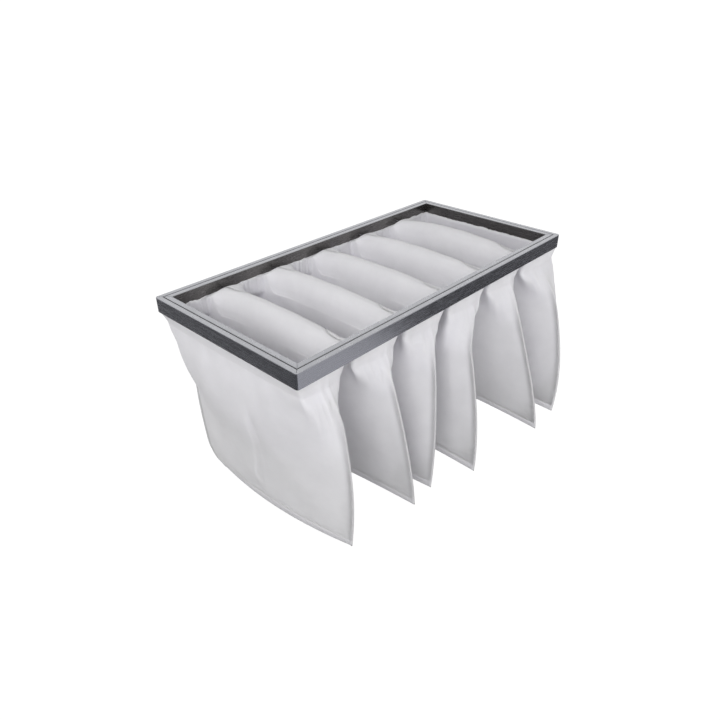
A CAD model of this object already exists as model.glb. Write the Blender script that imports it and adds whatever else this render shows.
"""Bag air filter, dressed: a folded steel header that carries six sewn felt pockets.

Run as a script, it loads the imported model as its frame, makes the six felt pockets, gives
the steel its finish and sets up the stage.
"""

import math

import bmesh
import bpy
from bpy.props import FloatProperty, FloatVectorProperty, IntProperty, PointerProperty
from mathutils import Matrix, Vector, noise


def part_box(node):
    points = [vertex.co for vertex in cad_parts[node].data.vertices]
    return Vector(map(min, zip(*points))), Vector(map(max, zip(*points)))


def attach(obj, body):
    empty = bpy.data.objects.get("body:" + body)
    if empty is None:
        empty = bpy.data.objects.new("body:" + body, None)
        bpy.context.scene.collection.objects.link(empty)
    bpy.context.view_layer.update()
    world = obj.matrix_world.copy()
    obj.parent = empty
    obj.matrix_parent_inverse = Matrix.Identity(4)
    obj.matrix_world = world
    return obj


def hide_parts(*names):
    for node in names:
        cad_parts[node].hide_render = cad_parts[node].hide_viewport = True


bl_info = {
    "name": "Bag air filter",
    "version": (1, 0, 0),
    "blender": (4, 5, 0),
    "location": "3D View > Sidebar > Filter",
    "description": "Felt pockets, steel finishes and stage for a bag air filter",
    "category": "Object",
}

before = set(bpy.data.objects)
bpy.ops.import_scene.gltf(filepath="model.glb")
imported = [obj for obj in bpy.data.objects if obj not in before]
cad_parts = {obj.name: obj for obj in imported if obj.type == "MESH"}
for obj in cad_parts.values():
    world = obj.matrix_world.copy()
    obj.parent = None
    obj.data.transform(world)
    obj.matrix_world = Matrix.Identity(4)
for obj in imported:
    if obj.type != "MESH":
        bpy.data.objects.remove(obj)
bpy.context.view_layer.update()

MM = 0.001

# The header's outside, from the frame
HEADER_LOW, HEADER_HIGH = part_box("outer_frame")
HEADER_SIZE = (HEADER_HIGH - HEADER_LOW) / MM
HALF_LENGTH = HEADER_SIZE.x / 2
HALF_WIDTH = HEADER_SIZE.y / 2
HEADER_HEIGHT = HEADER_SIZE.z
CENTRE = (HEADER_LOW + HEADER_HIGH) / 2
UNDERSIDE = HEADER_LOW.z

# The clamping channel stands in from the header's outside and off its underside
CLAMP_LOW, CLAMP_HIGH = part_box("clamping_frame")
CLAMP_INNER = 16.7
CLAMP_FOOT = (CLAMP_LOW.z - UNDERSIDE) / MM
OPENING_Y = HALF_WIDTH - CLAMP_INNER

POCKET_COUNT = 6
PITCH = HEADER_SIZE.x / POCKET_COUNT
POCKET_DEPTH = 278.0

# Each pocket as it hangs, in millimetres: the crest's rise on its +X side, the bow of its
# bottom seam, and its near and far side seams as (start, lean, reach, bulge)
POCKETS = (
    {"rise": 6, "bow": -12, "near": (6, 11, 165, 12), "far": (0, -8, 133, 18)},
    {"rise": 6, "bow": 4, "near": (0, 33, 178, 5), "far": (0, -5, 142, 8)},
    {"rise": 6, "bow": -6, "near": (0, -20, 173, 4), "far": (0, -30, 150, 8)},
    {"rise": 7, "bow": 4, "near": (-24, -42, 200, 4), "far": (0, -50, 124, 8)},
    {"rise": 11, "bow": 6, "near": (0, 23, 216, 0), "far": (0, 24, 112, 8)},
    {"rise": 0, "bow": 6, "near": (20, -9, 211, 10), "far": (0, -24, 118, 8)},
)

# The felt's thickness, and the hem's place beside the steel that holds it
FELT = 2.4
HEM_LIP = 2.5
HEM_RISE = 1.0
HEM_TOP = 3.0
HEM_SET_IN = 1.3
HEM_GAP = 0.5

# The crests: wire, half widths at the middle and the ends, and how far the felt rolls down
WIRE_RADIUS = 1.25
WIRE_CLEARANCE = 0.6
WIRE_END_HEIGHT = 6.5
CREST_HALF = 21.0
CREST_SHOULDER = 27.0
CREST_NEAR_ENDS = {1: 24.0, -1: -5.0}
CREST_DROP = 32.0
CREST_END_RUN = 9.0
CREST_OVERLAP = 11.0

# Below the header: where the wall begins, how the seams start and how the corners round
WALL_DROP = 19.0
FLARE = 2.0
SHORT_SIDE_DRAWS = {0: 6.0, POCKET_COUNT - 1: 0.0}
MOUTH_CORNER = 2.0
NEAR_CORNER = 40.0
FAR_CORNER = 24.0
FAR_FOOT_RADIUS = 36.0

# The pressed seams: height at the bottom, share of the width at the sides, half thickness
SEAM_HEIGHT = 10.0
SEAM_SHARE = 1 - SEAM_HEIGHT / POCKET_DEPTH
SEAM_BEGINS = 0.24
SEAM_FLANGE = 0.03
SEAM_HALF = 0.8

NECK_ROWS = 5
TURN_ROWS = 8
JOIN_DISTANCE = 0.02 * MM

# The crease in the first pocket's face: height under the header and distance across it
CREASE = ((-70, -27), (-116, -23), (-143, -21), (-180, -13), (-220, -6), (-262, -7))
CREASE_LIFT = 5.0
CREASE_HOLLOW = 2.4

# Pattern scales: clouds of 45 mm and fibres of 1 mm in the felt, streaks of 22 mm in the zinc
CLOUDS_PER_METRE = 22.0
FIBRES_PER_METRE = 900.0
STREAKS_PER_METRE = 45.0

# The stage: the camera's axes, the lamp, and dark cards as (low corner, high corner, height
# over the floor, shade). The cards stand in the steel's mirror image and under the pockets.
CAMERA_RIGHT = (0.683, -0.730, -0.004)
CAMERA_FORWARD = (0.621, 0.585, -0.522)
FLOOR_REACH = 80.0
LAMP_PLACE = (-1.5, -0.7, 1.0)
LAMP_AIM = (0.0, 0.14, -0.12)
LAMP_SIZE = 0.8
LAMP_POWER = 15.5
FLAGS = {
    "flag_long_side": ((0.85, -1.5), (3.2, -0.35), 0.02, 0.03),
    "flag_short_side": ((-3.5, -2.5), (-0.75, 3.0), 0.02, 0.1),
    "flag_under": ((-0.7, -0.4), (0.3, 0.6), 0.2, 0.3),
}


def lerp(a, b, share):
    """The value that lies a share of the way from one to the other."""
    return a + (b - a) * share


def smooth(value, low, high):
    """A soft step from 0 below low to 1 above high."""
    share = min(max((value - low) / (high - low), 0.0), 1.0)
    return share * share * (3 - 2 * share)


def place(x, y, z):
    """A point in millimetres from the middle of the header's underside, in the frame."""
    return Vector((CENTRE.x + x * MM, CENTRE.y + y * MM, UNDERSIDE + z * MM))


def linear(code):
    """An sRGB hex colour as the linear values that a shader takes."""
    values = [int(code[i : i + 2], 16) / 255 for i in (1, 3, 5)]
    return tuple(v / 12.92 if v <= 0.04045 else ((v + 0.055) / 1.055) ** 2.4 for v in values)


def add_node(tree, kind, settings=(), links=()):
    """Adds a node, sets its properties and sockets, and links its inputs."""
    node = tree.nodes.new(kind)
    for key, value in dict(settings).items():
        if hasattr(node, key) and key not in node.inputs:
            setattr(node, key, value)
        else:
            node.inputs[key].default_value = value
    for key, source in dict(links).items():
        tree.links.new(source, node.inputs[key])
    return node


class FeltSettings(bpy.types.PropertyGroup):
    """Sizes and colours of the felt pockets"""

    columns: IntProperty(
        name="Columns", description="Faces round each pocket", default=240, min=40, max=400
    )
    rows: IntProperty(
        name="Rows", description="Faces down each pocket's wall", default=60, min=12, max=200
    )
    gather_depth: FloatProperty(
        name="Gather depth",
        description="How deep the gathers under the header are",
        default=2.1 * MM,
        unit="LENGTH",
    )
    drape: FloatProperty(
        name="Drape",
        description="How far the felt's panels wander from a true curve",
        default=3.0 * MM,
        unit="LENGTH",
    )
    colour: FloatVectorProperty(
        name="Felt colour",
        description="Colour of the needled felt",
        subtype="COLOR",
        default=linear("#e9e8ec"),
        size=3,
    )


class SteelSettings(bpy.types.PropertyGroup):
    """Colours of the header's steel"""

    band_colour: FloatVectorProperty(
        name="Face colour",
        description="Colour of the galvanised sheet on the header's face",
        subtype="COLOR",
        default=linear("#d8d9de"),
        size=3,
    )
    wall_colour: FloatVectorProperty(
        name="Wall colour",
        description="Colour of the galvanised sheet on the header's walls",
        subtype="COLOR",
        default=linear("#8a8b93"),
        size=3,
    )
    inner_colour: FloatVectorProperty(
        name="Inner wall colour",
        description="Colour of the clamping channel's inner wall",
        subtype="COLOR",
        default=linear("#6c6a69"),
        size=3,
    )


class StageSettings(bpy.types.PropertyGroup):
    """Camera and light"""

    camera_place: FloatVectorProperty(
        name="Camera",
        description="Where the camera stands",
        subtype="TRANSLATION",
        default=(-0.66266, -0.44445, 0.36636),
        size=3,
    )
    lens: FloatProperty(
        name="Lens", description="Focal length in millimetres", default=31.11, min=10, max=200
    )
    floor_drop: FloatProperty(
        name="Floor drop",
        description="Height of the floor under the header's face",
        default=0.75,
        unit="LENGTH",
    )


def crest_x(index):
    """Where a crest stands along the header, from its middle."""
    return -HALF_LENGTH + PITCH * (index + 1)


def crest_beside(index, side):
    """The crest on one side of a pocket, or None where the header's short wall is."""
    crest = index if side > 0 else index - 1
    return crest if 0 <= crest < POCKET_COUNT - 1 else None


def hem_height(x, y):
    """Height of the felt's puffed hem in front of the clamping channel's inner wall."""
    wave = noise.noise(Vector((x / 15.0, y / 15.0, 3.7)))
    ripple = noise.noise(Vector((x / 4.5, y / 4.5, 9.1)))
    return CLAMP_FOOT + HEM_RISE + 1.8 * wave + 0.9 * ripple


def crest_height(crest, y, layer):
    """Height of a crest's felt: its top inside the pockets, its underside outside them."""
    across = min(abs(y) / OPENING_Y, 1.0)
    arch = WIRE_END_HEIGHT + POCKETS[crest]["rise"] * (1 - across * across)
    top = arch + WIRE_RADIUS + WIRE_CLEARANCE + FELT
    wander = noise.noise(Vector((crest * 7.3, y / 30.0, 1.9)))
    share = 1 - smooth(abs(y), OPENING_Y - CREST_END_RUN, OPENING_Y - 0.4)
    end = hem_height(crest_x(crest), y)
    return lerp(end, top + 0.8 * wander, share) - (0 if layer == "inner" else FELT)


def crest_half(side, y, layer):
    """How far a crest's felt reaches to each side before it hangs down."""
    half = lerp(CREST_HALF, CREST_SHOULDER, smooth(y, 70.0, OPENING_Y - 6.0))
    if layer == "outer":
        half = lerp(half, CREST_NEAR_ENDS[side], smooth(-y, 96.0, OPENING_Y)) - FELT
    return half


def oblong(way, half_x, half_y, radius):
    """Half of a rounded oblong, from its near middle (0) to its far middle (1)."""
    radius = min(radius, half_x * 0.98, half_y * 0.98)
    flat, side, turn = half_x - radius, 2 * (half_y - radius), radius * math.pi / 2
    along = way * (2 * flat + side + 2 * turn)
    far = along > flat + turn + side / 2
    if far:
        along = 2 * flat + side + 2 * turn - along
    if along < flat:
        x, y = along, -half_y
    elif along < flat + turn:
        angle = (along - flat) / radius
        x = flat + radius * math.sin(angle)
        y = -half_y + radius * (1 - math.cos(angle))
    else:
        x, y = half_x, -half_y + radius + (along - flat - turn)
    return x, -y if far else y


def side_seam(seam, share, flare=0.0):
    """Where a side seam lies: its lean along X and its distance from the middle."""
    start, lean, reach, bulge = seam
    x = start * smooth(share, 0.0, SEAM_BEGINS) + (lean - start) * share**1.1
    out = lerp(HALF_WIDTH - FELT, reach, 1 - (1 - share) ** 1.5)
    skirt = flare * smooth(share, 0.0, 0.06) * (1 - smooth(share, 0.15, 0.55))
    return x, out + skirt + bulge * math.sin(math.pi * share)


def foot_round(share):
    """How far the far bottom corner's rounding takes a pocket's far seam in."""
    turned = max((share - 1 + FAR_FOOT_RADIUS / POCKET_DEPTH) * POCKET_DEPTH, 0.0)
    turned = min(turned / FAR_FOOT_RADIUS, 1.0)
    return FAR_FOOT_RADIUS * (1 - math.sqrt(1 - turned * turned))


def crease_lift(y, z):
    """How far the crease in the first pocket's face stands out."""
    line = CREASE[-1][1]
    for (high, y_high), (low, y_low) in zip(CREASE, CREASE[1:]):
        if high >= z > low:
            line = lerp(y_high, y_low, (high - z) / (high - low))
    along = smooth(-z, 75.0, 125.0) * (1 - smooth(-z, 215.0, 262.0))
    off = y - line
    if off > 0:
        return along * CREASE_LIFT * math.exp(-((off / 34.0) ** 2))
    hollow = -CREASE_HOLLOW * math.exp(off / 60.0)
    return along * lerp(hollow, CREASE_LIFT, math.exp(-((off / 6.0) ** 2)))


class PocketForm:
    """The form of one pocket's felt, as points round it and down it."""

    def __init__(self, index, settings):
        self.index = index
        self.data = POCKETS[index]
        self.gather = settings.gather_depth / MM
        self.drape = settings.drape / MM
        self.middle = -HALF_LENGTH + PITCH * (index + 0.5)

    def half_length(self, side, layer):
        """Half of the mouth along X, to where the felt turns over."""
        crest = crest_beside(self.index, side)
        if crest is not None:
            return abs(crest_x(crest) - self.middle)
        inset = CLAMP_INNER + WIRE_CLEARANCE if layer == "inner" else HEM_SET_IN
        return PITCH / 2 - inset

    def roll(self, side, y, layer):
        """How far the felt reaches in from the mouth's edge as it turns down."""
        if crest_beside(self.index, side) is None:
            return HEM_LIP if layer == "inner" else 0.0
        return crest_half(side, y, layer)

    def gathers(self, side, u, z, layer):
        """Gathers under the header, which run together towards the side seam."""
        depth = max(-z, 0.0)
        seed = self.index * 3.1 + side * 0.7
        wide = noise.noise(Vector((u * 3.4 + seed, 2.1 + seed, depth / 120.0)))
        fine = noise.noise(Vector((u * 8.0 + seed, 7.7 - seed, depth / 80.0)))
        rise = smooth(depth, -4.0, 14.0) if layer == "outer" else 1.0
        fade = 1 - smooth(depth, 30.0, 120.0)
        corner = 1 - 0.8 * smooth(u, 0.8, 1.0)
        return self.gather * (1.4 * wide + 1.1 * fine) * rise * fade * corner

    def mouth(self, side, way, layer, turn):
        """A point where the felt turns over at the mouth, from flat (0) to down (1)."""
        crest = crest_beside(self.index, side)
        inner = layer == "inner"
        half_x = self.half_length(side, layer)
        half_y = OPENING_Y - HEM_GAP if inner else HALF_WIDTH - HEM_SET_IN
        x, y = oblong(way, half_x, half_y, 1.0)
        lip = HEM_LIP if inner else 0.0
        top = hem_height(self.middle + side * x, y) if inner else HEM_TOP
        fall = max(lip, 1.0)
        if crest is not None:
            on_side = abs(y) < half_y - 0.01
            beside = smooth(x, half_x - 1.6 * CREST_SHOULDER, half_x - 0.2 * CREST_SHOULDER)
            top = lerp(top, crest_height(crest, y, layer), 1.0 if on_side else beside)
            fall = lerp(CREST_DROP, fall, smooth(abs(y), OPENING_Y - 26.0, OPENING_Y - 2.0))
        roll = self.roll(side, y, layer)
        first = 0.0
        if crest is not None and abs(x - half_x) < 0.01:
            over = CREST_OVERLAP * (1 - smooth(abs(y), 70.0, 96.0))
            first = -side * math.asin(over / roll) if over else 0.0
        angle = lerp(first, math.pi / 2, turn)
        u = x / half_x
        x *= 1 - roll * math.sin(angle) / half_x
        z = top - fall * (1 - math.cos(angle))
        y *= 1 - lip * math.sin(angle) / half_y
        ends = smooth(abs(y), half_y - 16.0, half_y - 4.0)
        y += math.copysign(self.gathers(side, u, z, layer) * ends * (0.4 + 0.6 * turn), y)
        return self.middle + side * x, y, z

    def side_seams(self, layer, share):
        """The near and far side seams at one height, as (lean, distance from the middle)."""
        near_x, near_out = side_seam(self.data["near"], share, FLARE)
        far_x, far_out = side_seam(self.data["far"], share)
        far_out -= foot_round(share)
        if layer == "inner":
            start = OPENING_Y - HEM_GAP - HEM_LIP
            hem = 1 - smooth(share, -0.01, 0.07)
            near_out = lerp(near_out - FELT, start, hem)
            far_out = lerp(far_out - FELT, start, hem)
        return (near_x, near_out), (far_x, far_out)

    def lens(self, side, layer, share, belly):
        """Half of the room between a pocket's panels, which closes towards its seams."""
        most = self.half_length(side, "outer")
        if crest_beside(self.index, side) is not None:
            most -= CREST_HALF * (1.0 if side > 0 else 0.4)
        open_share = max(1 - share / SEAM_SHARE, 0.0)
        half = SEAM_HALF + (most - SEAM_HALF) * open_share**0.9 * belly**0.85
        return half if layer == "outer" else max(half - FELT, 0.0)

    def wall(self, side, way, layer, share):
        """A point on the pocket's wall, from below its mouth (0) to its bottom (1)."""
        on_header = crest_beside(self.index, side) is None
        pinch = smooth(share, -0.15, 0.62) if on_header else smooth(share, -0.1, 0.32)
        (near_x, near_out), (far_x, far_out) = self.side_seams(layer, share)
        half_y = (near_out + far_out) / 2
        draw = SHORT_SIDE_DRAWS[self.index] if on_header else 0.0
        full = self.half_length(side, layer) - draw * (1 - smooth(share, 0.0, 0.3))
        if way > 0.5:
            corner = lerp(MOUTH_CORNER, FAR_CORNER, smooth(share, 0.0, 0.12))
        else:
            rounded = smooth(share, -0.02, 0.45 if on_header else 0.3)
            corner = lerp(MOUTH_CORNER, NEAR_CORNER, rounded)
        x, y = oblong(way, full, half_y, corner)
        u = x / full
        half_x = full - self.roll(side, y / half_y * OPENING_Y, layer)
        along = 2 * way - 1
        belly = max(1 - (abs(along) / (1 - SEAM_FLANGE)) ** 2, 0.0)
        across = lerp(u * half_x, self.lens(side, layer, share, belly), pinch)
        place_y = lerp(y / half_y, along, pinch)
        seam_x = lerp(near_x, far_x, (place_y + 1) / 2)
        px = self.middle + seam_x + self.data["bow"] * share * belly + side * across
        py = lerp(-near_out, far_out, (place_y + 1) / 2)
        pz = -lerp(WALL_DROP, POCKET_DEPTH, share)
        ends = smooth(abs(y / half_y), 0.86, 0.97)
        py += math.copysign(self.gathers(side, u, pz, layer) * ends, py)
        return self.worn(px, py, pz, side, share, along)

    def worn(self, x, y, z, side, share, along):
        """The felt's slow wander and the first pocket's crease, on a wall point."""
        seed = self.index * 13.7
        edge = 1 - abs(along)
        still = smooth(share, 0.0, 0.12) * smooth(edge, 0.0, 0.25) * smooth(1 - share, 0.02, 0.3)
        slow = noise.noise(Vector((side * 5.0 + seed, y / 95.0, z / 120.0)))
        fine = noise.noise(Vector((side * 9.0 + seed, y / 40.0, z / 75.0)))
        x += side * self.drape * (1.6 * slow + 0.6 * fine) * still
        hang = smooth(share, 0.0, 0.05) * (1 - smooth(share, 0.1, 0.5)) * smooth(edge, 0.0, 0.15)
        x += side * self.gather * noise.noise(Vector((seed + side, y / 26.0, z / 160.0))) * hang
        if self.index == 0 and side < 0:
            x -= crease_lift(y, z)
        return x, y, z

    def seam(self, way, row):
        """How far a point lies in the pressed seam: 1 at the cut edge, 0 off it."""
        layer, zone, share = row
        if zone in ("mouth", "neck"):
            return 0.0
        beside = smooth(abs(2 * way - 1), 0.925, 0.985) * smooth(share, 0.05, 0.3)
        return max(beside, smooth(share, SEAM_SHARE - 0.01, SEAM_SHARE + 0.02))

    def point(self, side, way, row):
        """A point of the felt, at one way round the pocket and in one of its rows."""
        layer, zone, share = row
        if zone == "mouth":
            return self.mouth(side, way, layer, share)
        if zone == "neck":
            above = Vector(self.mouth(side, way, layer, 1.0))
            return above.lerp(Vector(self.wall(side, way, layer, 0.0)), share)
        x, y, z = self.wall(side, way, layer, share)
        if zone == "foot":
            ends = [self.wall(half, way, layer, 1.0)[0] for half in (-1, 1)]
            x, z = sum(ends) / 2, z - FELT * 0.4
        return x, y, z


def pocket_rows(rows):
    """The rows of a pocket's felt: its outside from the bottom up, then its inside down."""
    wall = [(i / rows) ** 1.25 for i in range(rows + 1)]
    neck = [i / (NECK_ROWS + 1) for i in range(1, NECK_ROWS + 1)]
    turn = [i / TURN_ROWS for i in range(TURN_ROWS + 1)]
    path = [("outer", "foot", 1.0)]
    path += [("outer", "wall", share) for share in reversed(wall)]
    path += [("outer", "neck", share) for share in reversed(neck)]
    path += [("outer", "mouth", share) for share in reversed(turn)]
    path += [("inner", "mouth", share) for share in turn]
    path += [("inner", "neck", share) for share in neck]
    path += [("inner", "wall", share * SEAM_SHARE) for share in wall]
    return path


def felt_pocket(index, settings):
    """One pocket's felt, as a grid that is bent to its form and joined round."""
    form = PocketForm(index, settings)
    path = pocket_rows(settings.rows)
    shape = bmesh.new()
    segments = len(path) - 1
    bmesh.ops.create_grid(shape, x_segments=settings.columns, y_segments=segments, size=0.5)
    rim = path.index(("outer", "mouth", 0.0))
    for face in shape.faces:
        lowest = min(vertex.co.y for vertex in face.verts)
        face.smooth = round((lowest + 0.5) * segments) != rim
    seam = shape.verts.layers.float.new("seam")
    for vertex in shape.verts:
        round_share = (vertex.co.x + 0.5) % 1.0
        side = 1 if round_share < 0.5 else -1
        way = 2 * round_share if side > 0 else 2 * (1 - round_share)
        row = path[round((vertex.co.y + 0.5) * segments)]
        vertex[seam] = form.seam(way, row)
        vertex.co = place(*form.point(side, way, row))
    bmesh.ops.remove_doubles(shape, verts=shape.verts, dist=JOIN_DISTANCE)
    bmesh.ops.recalc_face_normals(shape, faces=shape.faces)
    mesh = bpy.data.meshes.new(f"felt_pocket_{index + 1}")
    shape.to_mesh(mesh)
    shape.free()
    return mesh


def needle_felt(settings):
    """White needled polyester felt, pressed smooth: matt, with a soft fibre grain."""
    material = bpy.data.materials.new("needle_felt")
    material.use_nodes = True
    tree = material.node_tree
    tree.nodes.clear()
    spot = add_node(tree, "ShaderNodeTexCoord")
    cloud = add_node(
        tree,
        "ShaderNodeTexNoise",
        {"Scale": CLOUDS_PER_METRE, "Detail": 4.0, "Roughness": 0.6},
        {"Vector": spot.outputs["Object"]},
    )
    fibre = add_node(
        tree,
        "ShaderNodeTexNoise",
        {"Scale": FIBRES_PER_METRE, "Detail": 5.0, "Roughness": 0.7, "Distortion": 1.5},
        {"Vector": spot.outputs["Object"]},
    )
    tone = add_node(tree, "ShaderNodeValToRGB", {}, {"Fac": cloud.outputs["Fac"]})
    base = Vector(settings.colour)
    tone.color_ramp.elements[0].position = 0.3
    tone.color_ramp.elements[0].color = (*(base * 0.94), 1)
    tone.color_ramp.elements[1].position = 0.7
    tone.color_ramp.elements[1].color = (*base, 1)
    seam = add_node(tree, "ShaderNodeAttribute", {"attribute_name": "seam"})
    pressed = add_node(
        tree,
        "ShaderNodeMapRange",
        {"To Min": 1.0, "To Max": 0.72},
        {"Value": seam.outputs["Fac"]},
    )
    shade = add_node(
        tree, "ShaderNodeVectorMath", {"operation": "SCALE"}, {"Scale": pressed.outputs["Result"]}
    )
    tree.links.new(tone.outputs["Color"], shade.inputs[0])
    bump = add_node(
        tree,
        "ShaderNodeBump",
        {"Strength": 0.25, "Distance": 0.0006},
        {"Height": fibre.outputs["Fac"]},
    )
    shader = add_node(
        tree,
        "ShaderNodeBsdfPrincipled",
        {
            "Roughness": 0.95,
            "Subsurface Weight": 1.0,
            "Subsurface Radius": (1.0, 1.0, 1.0),
            "Subsurface Scale": 6.0 * MM,
        },
        {"Base Color": shade.outputs["Vector"], "Normal": bump.outputs["Normal"]},
    )
    add_node(tree, "ShaderNodeOutputMaterial", {}, {"Surface": shader.outputs["BSDF"]})
    return material


def galvanised_sheet(name, band, wall):
    """Hot-dip galvanised sheet: a pale face band, and walls that look dark by contrast."""
    material = bpy.data.materials.new(name)
    material.use_nodes = True
    tree = material.node_tree
    tree.nodes.clear()
    spot = add_node(tree, "ShaderNodeTexCoord")
    stretch = add_node(
        tree,
        "ShaderNodeMapping",
        {"Scale": (1.0, 1.0, 14.0)},
        {"Vector": spot.outputs["Object"]},
    )
    streak = add_node(
        tree,
        "ShaderNodeTexNoise",
        {"Scale": STREAKS_PER_METRE, "Detail": 5.0, "Roughness": 0.65},
        {"Vector": stretch.outputs["Vector"]},
    )
    split = add_node(tree, "ShaderNodeSeparateXYZ", {}, {"Vector": spot.outputs["Object"]})
    height = add_node(
        tree,
        "ShaderNodeMapRange",
        {"From Min": -0.8 * MM, "From Max": -0.15 * MM},
        {"Value": split.outputs["Z"]},
    )
    tint = add_node(
        tree,
        "ShaderNodeMix",
        {"data_type": "RGBA"},
        {"Factor": height.outputs["Result"]},
    )
    tint.inputs[6].default_value = (*wall, 1)
    tint.inputs[7].default_value = (*band, 1)
    grain = add_node(
        tree,
        "ShaderNodeMapRange",
        {"From Min": 0.3, "From Max": 0.7, "To Min": 0.92, "To Max": 1.07},
        {"Value": streak.outputs["Fac"]},
    )
    colour = add_node(
        tree, "ShaderNodeVectorMath", {"operation": "SCALE"}, {"Scale": grain.outputs["Result"]}
    )
    tree.links.new(tint.outputs[2], colour.inputs[0])
    rough = add_node(
        tree,
        "ShaderNodeMapRange",
        {"From Min": 0.3, "From Max": 0.7, "To Min": 0.2, "To Max": 0.32},
        {"Value": streak.outputs["Fac"]},
    )
    shader = add_node(
        tree,
        "ShaderNodeBsdfPrincipled",
        {"Metallic": 0.9},
        {"Base Color": colour.outputs["Vector"], "Roughness": rough.outputs["Result"]},
    )
    add_node(tree, "ShaderNodeOutputMaterial", {}, {"Surface": shader.outputs["BSDF"]})
    return material


def dress(node, material):
    """Gives a node of the frame its material."""
    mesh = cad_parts[node].data
    mesh.materials.clear()
    mesh.materials.append(material)


class FILTER_OT_felt_pockets(bpy.types.Operator):
    """Make the six sewn felt pockets"""

    bl_idname = "filter.felt_pockets"
    bl_label = "Felt pockets"

    def execute(self, context):
        settings = context.scene.filter_felt
        material = needle_felt(settings)
        for index in range(POCKET_COUNT):
            mesh = felt_pocket(index, settings)
            mesh.materials.append(material)
            piece = bpy.data.objects.new(mesh.name, mesh)
            context.scene.collection.objects.link(piece)
            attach(piece, "root")
            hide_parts(f"pocket_{index + 1}")
        return {"FINISHED"}


class FILTER_OT_steel(bpy.types.Operator):
    """Give the header and the crest wires their steel finishes"""

    bl_idname = "filter.steel"
    bl_label = "Steel finishes"

    def execute(self, context):
        settings = context.scene.filter_steel
        band, wall = tuple(settings.band_colour), tuple(settings.wall_colour)
        inner = tuple(settings.inner_colour)
        dress("outer_frame", galvanised_sheet("galvanised_strip", band, wall))
        dress("clamping_frame", galvanised_sheet("zinc_coated_channel", band, inner))
        wire = galvanised_sheet("spring_wire", band, wall)
        for crest in range(POCKET_COUNT - 1):
            dress(f"crest_wire_{crest + 1}", wire)
        return {"FINISHED"}


def softbox(name, place_at, aim, size, power):
    """A square area light that looks at a point."""
    light = bpy.data.lights.new(name, "AREA")
    light.shape = "SQUARE"
    light.size = size
    light.energy = power
    lamp = bpy.data.objects.new(name, light)
    lamp.location = place_at
    lamp.rotation_euler = (Vector(aim) - Vector(place_at)).to_track_quat("-Z", "Y").to_euler()
    bpy.context.scene.collection.objects.link(lamp)


def flag(name, low, high, height, shade):
    """A dark card out of the camera's sight, which the steel mirrors or the pockets face."""
    corners = [(low[0], low[1]), (high[0], low[1]), (high[0], high[1]), (low[0], high[1])]
    corners = [(x, y, height) for x, y in corners]
    card = stage_plane(name, corners, plain_material(name, (shade,) * 3, 0))
    card.visible_camera = False


def plain_material(name, colour, glow):
    """A matt paint or backdrop paper, with a glow where it is lit from behind."""
    material = bpy.data.materials.new(name)
    material.use_nodes = True
    shader = material.node_tree.nodes["Principled BSDF"]
    shader.inputs["Base Color"].default_value = (*colour, 1)
    shader.inputs["Roughness"].default_value = 0.9
    shader.inputs["Emission Color"].default_value = (1, 1, 1, 1)
    shader.inputs["Emission Strength"].default_value = glow
    return material


def stage_plane(name, corners, material):
    """A flat stage piece through four corners."""
    shape = bmesh.new()
    shape.faces.new([shape.verts.new(corner) for corner in corners])
    mesh = bpy.data.meshes.new(name)
    shape.to_mesh(mesh)
    shape.free()
    mesh.materials.append(material)
    piece = bpy.data.objects.new(name, mesh)
    bpy.context.scene.collection.objects.link(piece)
    return piece


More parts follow.
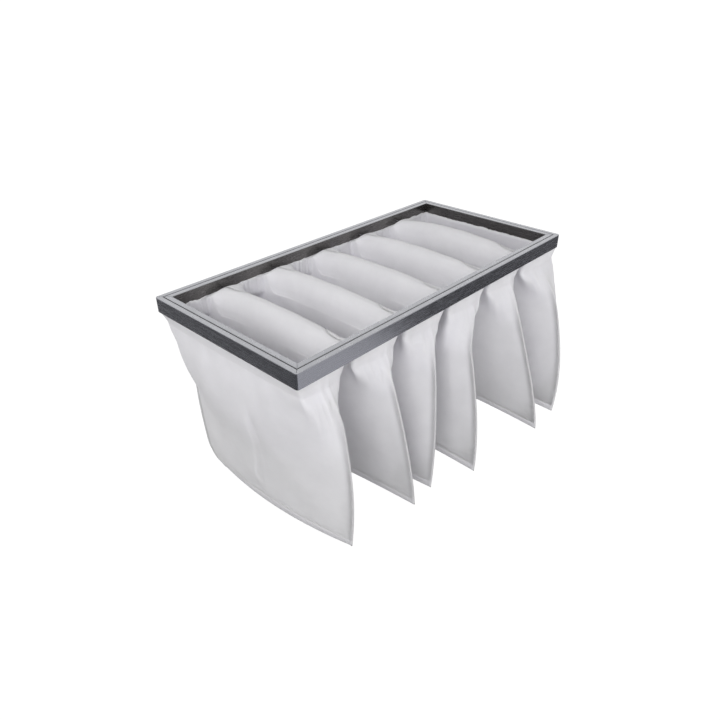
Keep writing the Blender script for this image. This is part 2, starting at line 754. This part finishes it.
class FILTER_OT_stage(bpy.types.Operator):
    """Set up the camera, the pale floor and the soft light"""

    bl_idname = "filter.stage"
    bl_label = "Stage"

    def execute(self, context):
        settings = context.scene.filter_stage
        camera = bpy.data.cameras.new("camera")
        camera.lens = settings.lens
        camera.sensor_width = 36
        camera.clip_end = 50
        eye = bpy.data.objects.new("camera", camera)
        right = Vector(CAMERA_RIGHT)
        forward = Vector(CAMERA_FORWARD).normalized()
        right = (right - forward * right.dot(forward)).normalized()
        up = right.cross(forward)
        turn = Matrix((right, up, -forward)).transposed()
        eye.matrix_world = Matrix.Translation(settings.camera_place) @ turn.to_4x4()
        context.scene.collection.objects.link(eye)
        context.scene.camera = eye

        low = -settings.floor_drop
        signs = ((-1, -1), (1, -1), (1, 1), (-1, 1))
        corners = [(x * FLOOR_REACH, y * FLOOR_REACH, low) for x, y in signs]
        stage_plane("floor", corners, plain_material("pale_floor", (0.1, 0.1, 0.1), 0.98))
        for name, (corner, opposite, lift, shade) in FLAGS.items():
            flag(name, corner, opposite, low + lift, shade)

        world = bpy.data.worlds.new("studio")
        world.use_nodes = True
        sky = world.node_tree
        way = add_node(sky, "ShaderNodeTexCoord")
        split = add_node(sky, "ShaderNodeSeparateXYZ", {}, {"Vector": way.outputs["Generated"]})
        fade = add_node(
            sky,
            "ShaderNodeMapRange",
            {"From Min": 0.2, "From Max": 0.9, "To Min": 0.76, "To Max": 0.46},
            {"Value": split.outputs["Z"]},
        )
        sky.links.new(fade.outputs["Result"], sky.nodes["Background"].inputs["Strength"])
        sky.nodes["Background"].inputs["Color"].default_value = (1, 1, 1, 1)
        context.scene.world = world
        softbox("key", LAMP_PLACE, LAMP_AIM, LAMP_SIZE, LAMP_POWER)
        context.scene.view_settings.view_transform = "Standard"
        return {"FINISHED"}


class FILTER_PT_sidebar(bpy.types.Panel):
    """The filter's pieces in the 3D view's sidebar"""

    bl_label = "Bag air filter"
    bl_idname = "FILTER_PT_sidebar"
    bl_space_type = "VIEW_3D"
    bl_region_type = "UI"
    bl_category = "Filter"

    def draw(self, context):
        for operator in OPERATORS:
            self.layout.operator(operator.bl_idname)
        scene = context.scene
        for settings in (scene.filter_felt, scene.filter_steel, scene.filter_stage):
            for name in settings.__annotations__:
                self.layout.prop(settings, name)


OPERATORS = (FILTER_OT_felt_pockets, FILTER_OT_steel, FILTER_OT_stage)
CLASSES = (FeltSettings, SteelSettings, StageSettings, *OPERATORS, FILTER_PT_sidebar)


def register():
    for item in CLASSES:
        bpy.utils.register_class(item)
    bpy.types.Scene.filter_felt = PointerProperty(type=FeltSettings)
    bpy.types.Scene.filter_steel = PointerProperty(type=SteelSettings)
    bpy.types.Scene.filter_stage = PointerProperty(type=StageSettings)


def unregister():
    del bpy.types.Scene.filter_stage
    del bpy.types.Scene.filter_steel
    del bpy.types.Scene.filter_felt
    for item in reversed(CLASSES):
        bpy.utils.unregister_class(item)


def main():
    """Makes the dressed filter."""
    register()
    bpy.ops.filter.felt_pockets()
    bpy.ops.filter.steel()
    bpy.ops.filter.stage()


if __name__ == "__main__":
    main()
